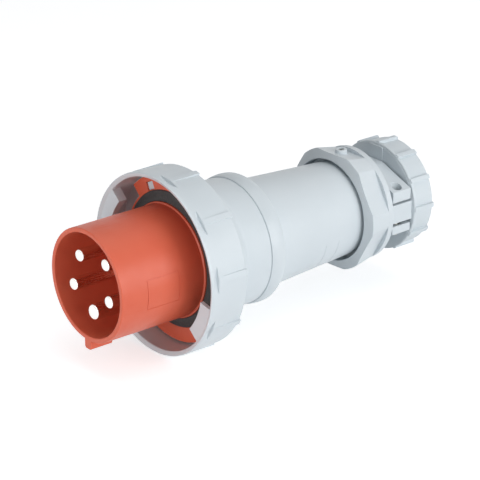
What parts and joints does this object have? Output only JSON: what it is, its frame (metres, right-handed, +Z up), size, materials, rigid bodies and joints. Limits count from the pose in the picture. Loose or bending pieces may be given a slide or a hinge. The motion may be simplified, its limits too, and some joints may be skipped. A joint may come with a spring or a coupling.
{
  "type": "industrial pin and sleeve plug",
  "caption": "Straight industrial power plug with a red sleeve round its pins, a bayonet locking ring, a grey housing and a cable gland with strain relief clamp.",
  "frame": {"origin": "centre of the sleeve's front rim, on the plug's axis", "axes": "+X along the plug's axis from the sleeve to the cable end, +Z up, away from the sleeve's key"},
  "size_m": [0.2503, 0.116, 0.115],
  "materials": {
    "red_plastic": "moulded, satin",
    "grey_plastic": "moulded, satin",
    "black_rubber": "matt",
    "nickel_plate": "bright nickel plate",
    "zinc_steel": "zinc plated"
  },
  "bodies": {
    "plug_body": {"contact_carrier": "red_plastic", "pin_earth": "nickel_plate", "pin_neutral": "nickel_plate", "pin_phase_1": "nickel_plate", "pin_phase_2": "nickel_plate", "pin_phase_3": "nickel_plate", "terminal_screws": "zinc_steel", "pin_retainer": "grey_plastic", "retainer_screws": "zinc_steel", "front_seal": "black_rubber", "carrier_seal": "black_rubber", "housing": "grey_plastic", "gland_seal": "black_rubber", "gland_body": "grey_plastic", "lock_screw": "zinc_steel", "sealing_bush": "black_rubber"},
    "locking_ring": {"bayonet_ring": "grey_plastic"},
    "clamp_top": {"clamp_upper": "grey_plastic", "clamp_screws": "zinc_steel"},
    "clamp_bottom": {"clamp_lower": "grey_plastic", "clamp_nuts": "zinc_steel"},
    "washer": {"thrust_washer": "grey_plastic"},
    "nut": {"gland_nut": "grey_plastic"}
  },
  "joints": [
    {"name": "bayonet_turn", "type": "hinge", "parent": "plug_body", "child": "locking_ring", "pos_m": [0.07, 0, 0], "axis": [-1, 0, 0], "range_deg": [0, 40]},
    {"name": "gland_advance", "type": "slide", "parent": "plug_body", "child": "washer", "axis": [1, 0, 0], "range_m": [0, 0.006]},
    {"name": "gland_nut_turn", "type": "hinge", "parent": "washer", "child": "nut", "pos_m": [0.24, 0, 0], "axis": [1, 0, 0], "range_deg": [0, 720]},
    {"name": "clamp_upper_lift", "type": "slide", "parent": "plug_body", "child": "clamp_top", "axis": [0, 0, 1], "range_m": [0, 0.003]},
    {"name": "clamp_lower_drop", "type": "slide", "parent": "plug_body", "child": "clamp_bottom", "axis": [0, 0, -1], "range_m": [0, 0.003]}
  ],
  "couplings": [
    {"joint": "gland_advance", "follows": "gland_nut_turn", "m_per_rad": 0.00047746},
    {"joint": "clamp_lower_drop", "follows": "clamp_upper_lift", "ratio": 1}
  ]
}
